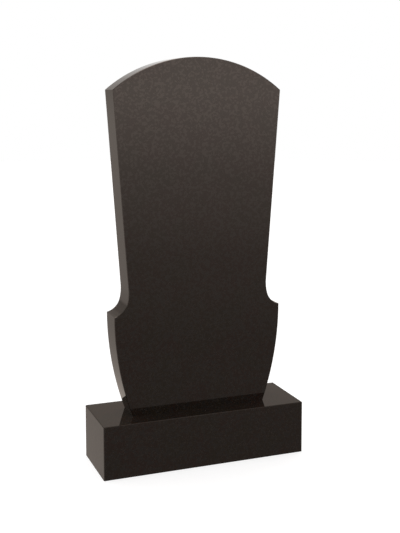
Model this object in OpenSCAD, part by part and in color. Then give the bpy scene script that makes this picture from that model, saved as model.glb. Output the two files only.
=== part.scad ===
// Family headstone: an upright slab of polished black granite with hollowed
// shoulders and an arched top, standing on a rectangular plinth of the same stone.
// Origin: centre of the plinth's underside. +Z is up, and the front looks along -Y.

/* [Slab] */
// Height of the slab, from the plinth to the crown of its arch
slab_h = 1000; // [800:10:1400]
// Thickness of the slab, front to back
slab_t = 80; // [50:5:120]
// Width of the foot, where the slab stands on the plinth
foot_w = 400; // [320:5:480]
// Width across the waist, where the straight sides begin
waist_w = 418; // [340:2:520]
// Width across the two top corners
top_w = 498; // [410:2:620]
// Rise of the arched top above the top corners
arch_rise = 91; // [40:1:160]

/* [Shoulders and coves] */
// Height of the shoulders above the plinth
shoulder_h = 285; // [200:5:400]
// How far the tip of each shoulder stands out past the waist
cove_out = 41; // [30:1:60]
// Height of the coves, from the shoulders up to the waist
cove_h = 75; // [60:1:92]
// Radius of each cove where it sweeps out to its shoulder
cove_r = 48; // [36:1:60]
// Radius of the easing arc that leads each straight side into its cove
easing_r = 120; // [100:1:160]

/* [Plinth] */
// Height of the plinth
plinth_h = 150; // [60:10:300]
// How far the plinth stands out past the slab's foot at each side
ledge_side = 100; // [20:5:250]
// How far it stands out past the slab in front and behind
ledge_front = 60; // [20:5:200]

/* [Edges] */
// Width that the arris takes off each face, along every broken edge
arris = 1.5; // [0.5:0.25:4]

/* [Hidden] */
$fn = 256;

stone_colour = [0.16, 0.14, 0.13];
// How far a cutter runs past the stone it cuts, and past the tip of the shoulder
over = 2;
past_tip = 5;
// Angle between the facets of a hollow arc
facet = 2.5;

// Radius of the arc with this half chord and this rise
function arc_radius(half_chord, rise) = (half_chord ^ 2 + rise ^ 2) / (2 * rise);
// Direction of a vector, and the angle from one vector to another, counterclockwise
function heading(v) = atan2(v.y, v.x);
function angle_between(a, b) = atan2(cross(a, b), a * b);
// Points along an arc, from one heading to another, both ends included
function arc_points(centre, r, from, to) =
    let (steps = ceil(abs(to - from) / facet))
    [for (i = [0 : steps])
        let (a = from + (to - from) * i / steps)
        centre + r * [cos(a), sin(a)]];

// The plinth carries the slab's foot with an even ledge all round
plinth_w = foot_w + 2 * ledge_side;
plinth_d = slab_t + 2 * ledge_front;

// Right half of the slab's outline: X from its centre line, Y up from the plinth
waist = [waist_w / 2, shoulder_h + cove_h];
shoulder = waist + [cove_out, -cove_h];
corner = [top_w / 2, slab_h - arch_rise];

// Lower side: an arc that stands upright at the shoulder and leans in to the foot
belly_r = arc_radius(shoulder_h, shoulder.x - foot_w / 2);
belly_centre = [shoulder.x - belly_r, shoulder_h];

// Top: one arc from corner to corner
arch_r = arc_radius(corner.x, arch_rise);
arch_centre = [0, slab_h - arch_r];
// Below this level the arch is wider than the slab and takes nothing off it
arch_base = corner.y - 2 * arris;

// Straight side, and the easing arc, whose centre lies square out from the waist
side = corner - waist;
side_out = [side.y, -side.x] / norm(side);
easing_centre = waist + easing_r * side_out;

// Cove: it passes through the shoulder and touches the easing arc from inside, so
// its centre is cove_r from the shoulder and easing_r - cove_r from easing_centre
centre_gap = easing_r - cove_r;
to_shoulder = shoulder - easing_centre;
reach = norm(to_shoulder);
along = (centre_gap ^ 2 - cove_r ^ 2 + reach ^ 2) / (2 * reach);
aside = sqrt(centre_gap ^ 2 - along ^ 2);
cove_centre = easing_centre
    + (along * to_shoulder + aside * [to_shoulder.y, -to_shoulder.x]) / reach;

// Headings of the waist and of the meeting of both arcs, seen from easing_centre,
// and of the shoulder's tip, seen from cove_centre
waist_at = heading(waist - easing_centre);
meeting_at = waist_at + angle_between(waist - easing_centre, cove_centre - easing_centre);
tip_at = meeting_at + angle_between(cove_centre - easing_centre, shoulder - cove_centre);

// Outline of all that is cut off the slab's right side, grown into the stone by a
// given amount: down the straight side, round easing arc and cove, past the shoulder
function side_cut(grow) =
    let (
        above = waist + side * (slab_h + over - waist.y) / side.y - grow * side_out,
        easing = arc_points(easing_centre, easing_r + grow, waist_at, meeting_at),
        cove = arc_points(cove_centre, cove_r + grow, meeting_at, tip_at + past_tip),
        outside = max(above.x, shoulder.x) + cove_r,
        below = cove[len(cove) - 1].y
    )
    [above, each easing, for (i = [1 : len(cove) - 1]) cove[i],
        [outside, below], [outside, above.y]];

// Wedge that leaves an arris on an edge along X, from 0 to length, of stone that
// lies on the +Y and -Z sides of it
module edge_cut(length) {
    rotate([90, 0, 90])
        linear_extrude(length)
            polygon([[arris + over, over], [-over, over], [-over, -arris - over]]);
}

// Disc as thick as the slab, with an arris round both of its rims
module arris_disc(centre, r) {
    translate([centre.x, centre.y, 0])
        rotate_extrude()
            polygon([
                [0, -slab_t / 2], [r - arris, -slab_t / 2], [r, arris - slab_t / 2],
                [r, slab_t / 2 - arris], [r - arris, slab_t / 2], [0, slab_t / 2]
            ]);
}

// Solid between outlines of equally many points, each given with its own height
module skin(outlines, heights) {
    n = len(outlines[0]);
    last = len(outlines) - 1;
    polyhedron(
        points = [for (k = [0 : last]) for (p = outlines[k]) [p.x, p.y, heights[k]]],
        faces = [
            [for (i = [0 : n - 1]) i],
            [for (i = [n - 1 : -1 : 0]) last * n + i],
            for (k = [0 : last - 1]) for (i = [0 : n - 1])
                let (j = (i + 1) % n)
                [k * n + i, (k + 1) * n + i, (k + 1) * n + j, k * n + j]
        ]);
}

// Cutter for the right side, flared at both faces of the slab to leave an arris
module side_cutter() {
    face = slab_t / 2 + over;
    full = slab_t / 2 - arris;
    flared = side_cut(arris + over);
    plain = side_cut(0);
    skin([flared, plain, plain, flared], [-face, -full, full, face]);
}

// The slab before its sides are cut: the belly between its two arcs, a plain block
// from the cove's centre up, and the arch
module blank() {
    half_w = max(shoulder.x, corner.x);
    intersection() {
        arris_disc(belly_centre, belly_r);
        arris_disc([-belly_centre.x, belly_centre.y], belly_r);
        translate([-half_w, 0, -slab_t / 2])
            cube([2 * half_w, cove_centre.y, slab_t]);
    }
    translate([-half_w, cove_centre.y, -slab_t / 2])
        cube([2 * half_w, arch_base - cove_centre.y, slab_t]);
    intersection() {
        arris_disc(arch_centre, arch_r);
        translate([-arch_r, arch_base, -slab_t / 2])
            cube([2 * arch_r, slab_h - arch_base, slab_t]);
    }
}

module slab() {
    color(stone_colour)
        translate([0, 0, plinth_h])
            rotate([90, 0, 0])
                difference() {
                    blank();
                    for (flip = [0, 1])
                        mirror([flip, 0, 0])
                            side_cutter();
                }
}

module plinth() {
    color(stone_colour)
        difference() {
            translate([-plinth_w / 2, -plinth_d / 2, 0])
                cube([plinth_w, plinth_d, plinth_h]);
            for (turn = [0 : 90 : 270]) {
                edge = turn % 180 == 0 ? [plinth_w, plinth_d] : [plinth_d, plinth_w];
                rotate([0, 0, turn])
                    translate([-edge.x / 2, -edge.y / 2, 0]) {
                        translate([0, 0, plinth_h])
                            edge_cut(edge.x);
                        rotate([0, -90, 0])
                            edge_cut(plinth_h);
                    }
            }
        }
}

slab();
plinth();
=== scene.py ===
"""Headstone: a shaped slab of polished black gabbro on a rectangular plinth of the same
stone. Metres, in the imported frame: +Z up, the front looks along -Y."""

import math

import bmesh
import bpy
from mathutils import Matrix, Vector


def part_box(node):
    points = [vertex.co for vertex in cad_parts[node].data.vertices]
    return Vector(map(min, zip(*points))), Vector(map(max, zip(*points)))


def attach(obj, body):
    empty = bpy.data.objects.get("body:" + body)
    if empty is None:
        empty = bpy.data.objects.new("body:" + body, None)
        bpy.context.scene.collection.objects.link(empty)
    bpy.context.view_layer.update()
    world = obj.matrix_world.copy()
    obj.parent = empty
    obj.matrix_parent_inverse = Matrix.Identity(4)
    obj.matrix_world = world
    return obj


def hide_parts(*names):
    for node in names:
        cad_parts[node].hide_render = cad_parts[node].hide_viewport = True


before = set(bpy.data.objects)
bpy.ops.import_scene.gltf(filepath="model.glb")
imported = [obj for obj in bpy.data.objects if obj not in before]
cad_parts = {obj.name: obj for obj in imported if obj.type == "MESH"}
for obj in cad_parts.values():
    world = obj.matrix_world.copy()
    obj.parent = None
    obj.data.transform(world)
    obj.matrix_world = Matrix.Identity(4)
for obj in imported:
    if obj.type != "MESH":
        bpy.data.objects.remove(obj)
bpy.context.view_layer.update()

# Viewer: stands to the left of the slab's front, with the eye level with its top
# corners, and looks slightly down. The picture area is slid down a little instead of
# tilting the camera further, which keeps the stone's upright edges nearly parallel.
eye = Vector((-0.935, -2.485, 1.050))
look_right = math.radians(20.97)
look_down = math.radians(5.70)

camera_data = bpy.data.cameras.new("viewer")
camera_data.sensor_width = 36
camera_data.lens = 63.3
camera_data.shift_y = -0.150
camera = bpy.data.objects.new("viewer", camera_data)
camera.location = eye
camera.rotation_euler = (math.pi / 2 - look_down, 0, -look_right)
bpy.context.scene.collection.objects.link(camera)
bpy.context.scene.camera = camera


# Slab: one piece of gabbro, an almost black stone, sawn and cut to its outline. Its back
# is ground fine, its foot is left as sawn and stands on the plinth, and the rest is
# polished. The edges round its front and back have a narrow arris, rubbed off by hand.
slab_low, slab_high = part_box("slab")
slab_t = slab_high.y - slab_low.y
slab_h = slab_high.z - slab_low.z
foot_w = 0.400
waist_w = 0.418
top_w = 0.498
arch_rise = 0.091
shoulder_h = 0.285
cove_out = 0.041
cove_h = 0.075
cove_r = 0.048
easing_r = 0.120
arris = 0.0015
turn_per_step = math.radians(1.5)
smooth_below = math.radians(20)


def arc_radius(half_chord, rise):
    """Radius of the arc with this half chord and this rise."""
    return (half_chord**2 + rise**2) / (2 * rise)


def start_editing(part):
    """Opens one part in edit mode, with nothing on it selected."""
    bpy.ops.object.select_all(action="DESELECT")
    part.select_set(True)
    bpy.context.view_layer.objects.active = part
    bpy.ops.object.mode_set(mode="EDIT")
    bpy.ops.mesh.select_all(action="DESELECT")


def pick(part, kind, wanted):
    """Selects the part's "verts", "edges" or "faces" that pass a test, and only them."""
    bpy.ops.mesh.select_all(action="DESELECT")
    select_mode = {"verts": "VERT", "edges": "EDGE", "faces": "FACE"}[kind]
    bpy.ops.mesh.select_mode(type=select_mode)
    mesh = bmesh.from_edit_mesh(part.data)
    for item in getattr(mesh, kind):
        item.select_set(bool(wanted(item)))
    mesh.select_flush_mode()
    bmesh.update_edit_mesh(part.data)


def near(a, b):
    """True for two numbers within 0.00001 of each other, or two lengths within 0.01 mm."""
    return abs(a - b) < 1e-5


# The right half of the outline, in X and height above the plinth
waist = Vector((waist_w / 2, shoulder_h + cove_h))
shoulder = waist + Vector((cove_out, -cove_h))
corner = Vector((top_w / 2, slab_h - arch_rise))
belly_r = arc_radius(shoulder_h, shoulder.x - foot_w / 2)
belly_centre = Vector((shoulder.x - belly_r, shoulder_h))
arch_r = arc_radius(corner.x, arch_rise)
arch_centre = Vector((0, slab_h - arch_r))

# The easing arc leaves the straight side at the waist. The cove runs on from it with
# a tighter sweep, round a centre between the easing arc's own and the shoulder.
side = corner - waist
easing_centre = waist + easing_r * Vector((side.y, -side.x)).normalized()
to_shoulder = shoulder - easing_centre
centre_gap = easing_r - cove_r
reach = to_shoulder.length
along = (centre_gap**2 - cove_r**2 + reach**2) / (2 * reach)
aside = math.sqrt(centre_gap**2 - along**2)
cove_centre = easing_centre + (
    along * to_shoulder + aside * Vector((to_shoulder.y, -to_shoulder.x))
) / reach


def on_front(p):
    """Place on the slab's front plane of a point of the outline."""
    return Vector((p.x, slab_low.y, slab_low.z + p.y))


def sweep(centre, start, end):
    """Spins the outline's last point round a centre, from start to end."""
    before = start - centre
    after = end - centre
    turn = math.atan2(before.cross(after), before.dot(after))
    bpy.ops.mesh.spin(
        steps=math.ceil(abs(turn) / turn_per_step),
        angle=turn,
        center=on_front(centre),
        axis=(0, 1, 0),
    )


bpy.ops.object.select_all(action="DESELECT")
bpy.ops.mesh.primitive_plane_add(
    size=foot_w / 2,
    location=on_front(Vector((foot_w / 4, foot_w / 4))),
    rotation=(math.pi / 2, 0, 0),
)
slab = bpy.context.object
slab.name = "shaped_slab"
bpy.ops.object.transform_apply(location=True, rotation=True, scale=True)

# Only the plane's lower edge is kept, as the foot, and the outline grows from its end
start_editing(slab)
pick(slab, "verts", lambda v: v.co.z > slab_low.z + foot_w / 4)
bpy.ops.mesh.delete(type="VERT")
pick(slab, "verts", lambda v: v.co.x > foot_w / 4)
sweep(belly_centre, Vector((foot_w / 2, 0)), shoulder)
cove_meets_easing = easing_centre + easing_r * (cove_centre - easing_centre).normalized()
sweep(cove_centre, shoulder, cove_meets_easing)
sweep(easing_centre, cove_meets_easing, waist)
bpy.ops.mesh.extrude_region_move(
    TRANSFORM_OT_translate={"value": on_front(corner) - on_front(waist)}
)
sweep(arch_centre, corner, Vector((0, slab_h)))
bpy.ops.object.mode_set(mode="OBJECT")

mirror = slab.modifiers.new("left half", "MIRROR")
mirror.merge_threshold = arris / 10
bpy.ops.object.modifier_apply(modifier=mirror.name)

# The closed outline is filled, drawn back by the slab's thickness, and the edges of
# front and back are broken all round, except along the foot
start_editing(slab)
pick(slab, "edges", lambda e: True)
bpy.ops.mesh.edge_face_add()
bpy.ops.mesh.extrude_region_move(TRANSFORM_OT_translate={"value": (0, slab_t, 0)})
pick(slab, "faces", lambda f: True)
bpy.ops.mesh.remove_doubles(threshold=arris / 100)
bpy.ops.mesh.normals_make_consistent(inside=False)


def broken_edge(edge):
    """True for an edge round the front or the back face, apart from the foot's."""
    a, b = (v.co for v in edge.verts)
    at_foot = near(a.z, slab_low.z) and near(b.z, slab_low.z)
    return near(a.y, b.y) and not at_foot


pick(slab, "edges", broken_edge)
bpy.ops.mesh.bevel(offset_type="OFFSET", offset=arris, segments=1, affect="EDGES")
bpy.ops.object.mode_set(mode="OBJECT")
bpy.ops.object.shade_smooth_by_angle(angle=smooth_below)


def linear(hex_colour):
    """An sRGB hex colour as the linear colour that a shader takes."""
    parts = [int(hex_colour[i : i + 2], 16) / 255 for i in (1, 3, 5)]
    return [p / 12.92 if p <= 0.04045 else ((p + 0.055) / 1.055) ** 2.4 for p in parts] + [1]


def add_node(tree, kind, settings=None, **inputs):
    """Adds a node with its settings, and gives each named input a value or a link.

    A name has _ for each space in the socket's own, or is i and the socket's number.
    """
    made = tree.nodes.new(kind)
    for name, value in (settings or {}).items():
        setattr(made, name, value)
    for name, value in inputs.items():
        socket = made.inputs[int(name[1:]) if name[1:].isdigit() else name.replace("_", " ")]
        if isinstance(value, bpy.types.NodeSocket):
            tree.links.new(value, socket)
        else:
            socket.default_value = value
    return made


def set_ramp(ramp, stops):
    """Gives a colour ramp its stops, each a place and a linear colour."""
    while len(ramp.elements) > 1:
        ramp.elements.remove(ramp.elements[-1])
    ramp.elements[0].position, ramp.elements[0].color = stops[0]
    for place, colour in stops[1:]:
        ramp.elements.new(place).color = colour


# Gabbro is a tight mix of black pyroxene and dark grey feldspar, with a little iron
# ore. Its crystals are 1 to 3 mm across and gather in clusters of about 10 mm. They are
# drawn about twice as coarse as the largest, so that they don't blur away from a few
# steps off.
crystal = 0.0055
crystal_wander = 0.0023
cluster = 0.010
cloud = 0.070
pyroxene = linear("#211a15")
feldspar = linear("#231c17")
pale_feldspar = linear("#251e18")
iron_ore = linear("#4b4a49")
ore_from = 0.50
ore_full = 0.70
ore_mirror = 0.85
cluster_pull = 0.35
brownish = linear("#ffe8e7")
greenish = linear("#effdea")
polish_spread = 0.2
stone_dust = linear("#6a655f")


def gabbro(name, roughness, dust=0.0):
    """A finish of black gabbro. Dust, from 0 to 1, is how grey the tooling leaves it."""
    material = bpy.data.materials.new(name)
    material.use_nodes = True
    tree = material.node_tree
    tree.nodes.clear()
    place = add_node(tree, "ShaderNodeTexCoord").outputs["Object"]

    # Crystals: cells with wavering outlines, each with a tone of its own, which its
    # cluster pulls up or down
    waver = add_node(tree, "ShaderNodeTexNoise", Vector=place, Scale=1 / crystal, Detail=1.0)
    centred = add_node(
        tree,
        "ShaderNodeVectorMath",
        {"operation": "SUBTRACT"},
        i0=waver.outputs["Color"],
        i1=(0.5, 0.5, 0.5),
    )
    wavered = add_node(
        tree,
        "ShaderNodeVectorMath",
        {"operation": "MULTIPLY_ADD"},
        i0=centred.outputs["Vector"],
        i1=(crystal_wander,) * 3,
        i2=place,
    )
    cells = add_node(
        tree, "ShaderNodeTexVoronoi", Vector=wavered.outputs["Vector"], Scale=1 / crystal
    )
    tone = add_node(tree, "ShaderNodeSeparateColor", Color=cells.outputs["Color"])
    clusters = add_node(
        tree, "ShaderNodeTexNoise", Vector=place, Scale=1 / cluster, Detail=1.0
    )
    gathered = add_node(
        tree,
        "ShaderNodeMapRange",
        Value=clusters.outputs["Fac"],
        From_Min=0.25,
        From_Max=0.75,
        To_Min=-cluster_pull,
        To_Max=cluster_pull,
    )
    kind = add_node(
        tree,
        "ShaderNodeMath",
        {"operation": "ADD"},
        i0=tone.outputs["Red"],
        i1=gathered.outputs["Result"],
    )

    def dusted(colour):
        """The colour with this finish's share of dust in it."""
        return [c + (d - c) * dust for c, d in zip(colour, stone_dust)]

    crystals = add_node(tree, "ShaderNodeValToRGB", Fac=kind.outputs["Value"])
    set_ramp(
        crystals.color_ramp,
        [(0.1, dusted(pyroxene)), (0.5, dusted(feldspar)), (0.9, dusted(pale_feldspar))],
    )

    # The block's own slow drift between a brownish and a greenish black
    drift = add_node(tree, "ShaderNodeTexNoise", Vector=place, Scale=1 / cloud, Detail=2.0)
    cast = add_node(tree, "ShaderNodeValToRGB", Fac=drift.outputs["Fac"])
    set_ramp(cast.color_ramp, [(0.38, brownish), (0.62, greenish)])
    tinted = add_node(
        tree,
        "ShaderNodeMix",
        {"data_type": "RGBA", "blend_type": "MULTIPLY"},
        i0=1.0,
        i6=crystals.outputs["Color"],
        i7=cast.outputs["Color"],
    )

    # Grains of iron ore mirror the light as metal does, so they glint where the polish
    # does and vanish where it is dark
    ore = add_node(
        tree,
        "ShaderNodeMapRange",
        Value=kind.outputs["Value"],
        From_Min=ore_from,
        From_Max=ore_full,
        To_Max=ore_mirror * (1.0 - dust),
    )
    speckled = add_node(
        tree,
        "ShaderNodeMix",
        {"data_type": "RGBA"},
        i0=ore.outputs["Result"],
        i6=tinted.outputs[2],
        i7=iron_ore,
    )
    # The polish differs a little from cluster to cluster
    polish = add_node(
        tree,
        "ShaderNodeMapRange",
        Value=clusters.outputs["Fac"],
        From_Min=0.3,
        From_Max=0.7,
        To_Min=roughness * (1 - polish_spread),
        To_Max=roughness * (1 + polish_spread),
    )
    surface = add_node(
        tree,
        "ShaderNodeBsdfPrincipled",
        Base_Color=speckled.outputs[2],
        Metallic=ore.outputs["Result"],
        Roughness=polish.outputs["Result"],
        IOR=1.55,
    )
    add_node(tree, "ShaderNodeOutputMaterial", Surface=surface.outputs["BSDF"])
    return material


def finish_stone(stone, foot_z, note=""):
    """Finishes a stone: ground at the back, sawn at the foot and polished elsewhere.

    The note is added to the names of its materials.
    """
    # Polished to a mirror: the eye gets the studio's reflection over a near-black depth
    polished = gabbro("polished black gabbro" + note, roughness=0.04)
    # Ground fine: a soft, dark grey sheen without reflections
    ground = gabbro("fine-ground black gabbro" + note, roughness=0.28, dust=0.10)
    # Sawn: a flat, dusty grey
    sawn = gabbro("sawn black gabbro" + note, roughness=0.65, dust=0.60)
    for finish in (polished, ground, sawn):
        stone.data.materials.append(finish)
    for face in stone.data.polygons:
        if near(face.normal.y, 1):
            face.material_index = 1
        elif near(face.center.z, foot_z):
            face.material_index = 2


finish_stone(slab, slab_low.z)
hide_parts("slab")
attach(slab, "root")


# Plinth: one sawn block of the same gabbro, with an even ledge at each side of the
# slab. Its top, front and ends are polished, its back is ground fine, and its upper and
# upright edges are broken. It stands on its sawn underside by its weight alone.
plinth_low, plinth_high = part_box("plinth")
bpy.ops.object.select_all(action="DESELECT")
bpy.ops.mesh.primitive_cube_add(
    size=1,
    location=(plinth_low + plinth_high) / 2,
    scale=plinth_high - plinth_low,
)
plinth = bpy.context.object
plinth.name = "plinth_block"
bpy.ops.object.transform_apply(location=True, rotation=True, scale=True)

start_editing(plinth)
pick(plinth, "edges", lambda e: any(v.co.z > plinth_low.z + arris for v in e.verts))
bpy.ops.mesh.bevel(offset_type="OFFSET", offset=arris, segments=1, affect="EDGES")
bpy.ops.object.mode_set(mode="OBJECT")

finish_stone(plinth, plinth_low.z, ", plinth")
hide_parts("plinth")
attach(plinth, "root")


# Floor: a plain white sweep under its own lights, wide enough for every side that is
# viewed. It reads as white and darkens a little only round the plinth's foot. Only the
# viewer sees it: the stone gets its light and its reflections from the studio alone.
floor_radius = 12
floor_drop = 0.0005
floor_glow = 0.74
bpy.ops.object.select_all(action="DESELECT")
bpy.ops.mesh.primitive_circle_add(
    vertices=64, radius=floor_radius, fill_type="NGON", location=(0, 0, -floor_drop)
)
floor = bpy.context.object
floor.name = "floor"
bpy.ops.object.transform_apply(location=True, rotation=True, scale=True)
# Matt white paint: no shine, and a glow of its own in place of the lights over it
sweep_white = bpy.data.materials.new("matt white studio sweep")
sweep_white.use_nodes = True
paint = sweep_white.node_tree.nodes["Principled BSDF"]
paint.inputs["Base Color"].default_value = linear("#9ea8b0")
paint.inputs["Roughness"].default_value = 0.9
paint.inputs["Emission Color"].default_value = linear("#ffffff")
paint.inputs["Emission Strength"].default_value = floor_glow
floor.data.materials.append(sweep_white)
floor.visible_glossy = False
floor.visible_diffuse = False


# Studio: a soft tent of warm light, each side with its own brightness at each height.
# It is bright overhead, and its front has a bright band at eye level that reaches lower
# on the left. The back is brighter to the right. The viewer sees plain white behind.
left_right_blend = 0.25
front_back_blend = 0.4
world = bpy.data.worlds.new("studio")
world.use_nodes = True
bpy.context.scene.world = world
studio = world.node_tree
studio.nodes.clear()
ray = add_node(studio, "ShaderNodeTexCoord").outputs["Generated"]
direction = add_node(studio, "ShaderNodeSeparateXYZ", Vector=ray)


def glow(tint, level, warmth=1.0):
    """Light of this level, in the full tint or, at a warmth of 0, in plain white."""
    return [level * (1 - (1 - part) * warmth) for part in tint[:3]] + [1]


def tent_side(tint, stops):
    """Light of one side of the tent, given at stops up its height.

    A stop is a height in degrees, the level there and, where it isn't 1, the warmth.
    """
    height = add_node(
        studio,
        "ShaderNodeMapRange",
        Value=direction.outputs["Z"],
        From_Min=-1.0,
        From_Max=1.0,
    )
    ramp = add_node(studio, "ShaderNodeValToRGB", Fac=height.outputs["Result"])
    set_ramp(
        ramp.color_ramp,
        [
            ((math.sin(math.radians(degrees)) + 1) / 2, glow(tint, *light))
            for degrees, *light in stops
        ],
    )
    return ramp.outputs["Color"]


def blend_sides(axis, half_width, first, second):
    """Blends one light into another across the middle of the tent, along X or Y."""
    share = add_node(
        studio,
        "ShaderNodeMapRange",
        {"interpolation_type": "SMOOTHSTEP"},
        Value=direction.outputs[axis],
        From_Min=-half_width,
        From_Max=half_width,
    )
    blended = add_node(
        studio,
        "ShaderNodeMix",
        {"data_type": "RGBA"},
        i0=share.outputs["Result"],
        i6=first,
        i7=second,
    )
    return blended.outputs[2]


front_cloth = linear("#ffede3")
back_cloth = linear("#fff0e4")
front_left = tent_side(
    front_cloth,
    [(-90, 0.2), (-60, 0.3), (-35, 0.6), (-20, 0.9), (-8, 1.2), (2, 1.4), (8, 1.2),
     (20, 0.4), (50, 0.25), (66, 0.45), (75, 3.0), (90, 6.0)],
)
front_right = tent_side(
    front_cloth,
    [(-90, 0.18), (-22, 0.23), (-15, 0.28), (-10, 0.42), (-5, 0.78), (0, 1.4), (6, 1.5),
     (14, 0.3), (30, 0.25), (50, 0.25), (66, 0.45), (75, 3.0), (90, 6.0)],
)
back_left = tent_side(
    back_cloth,
    [(-90, 0.30), (-24, 0.44), (-15, 0.41), (-4, 0.46), (2, 0.28), (13, 0.30),
     (18.5, 0.29), (20, 0.38), (24, 0.20), (32, 0.18), (50, 2.5), (90, 2.7)],
)
back_right = tent_side(
    back_cloth,
    [(-90, 0.30), (-25, 1.0), (-15, 0.7), (-4, 0.9), (4, 1.0, 0.2), (10, 0.8, 0.2),
     (15, 0.57, 0.5), (17.5, 0.33), (20, 0.36), (24, 0.21), (32, 0.18), (50, 2.5),
     (90, 2.7)],
)
front = blend_sides("X", left_right_blend, front_left, front_right)
back = blend_sides("X", left_right_blend, back_left, back_right)
tent = blend_sides("Y", front_back_blend, front, back)
lit = add_node(studio, "ShaderNodeBackground", Color=tent)
white = add_node(studio, "ShaderNodeBackground", Color=linear("#ffffff"))
seen = add_node(studio, "ShaderNodeLightPath").outputs["Is Camera Ray"]
both = add_node(
    studio,
    "ShaderNodeMixShader",
    Fac=seen,
    i1=lit.outputs["Background"],
    i2=white.outputs["Background"],
)
add_node(studio, "ShaderNodeOutputWorld", Surface=both.outputs["Shader"])
bpy.context.scene.view_settings.view_transform = "Standard"
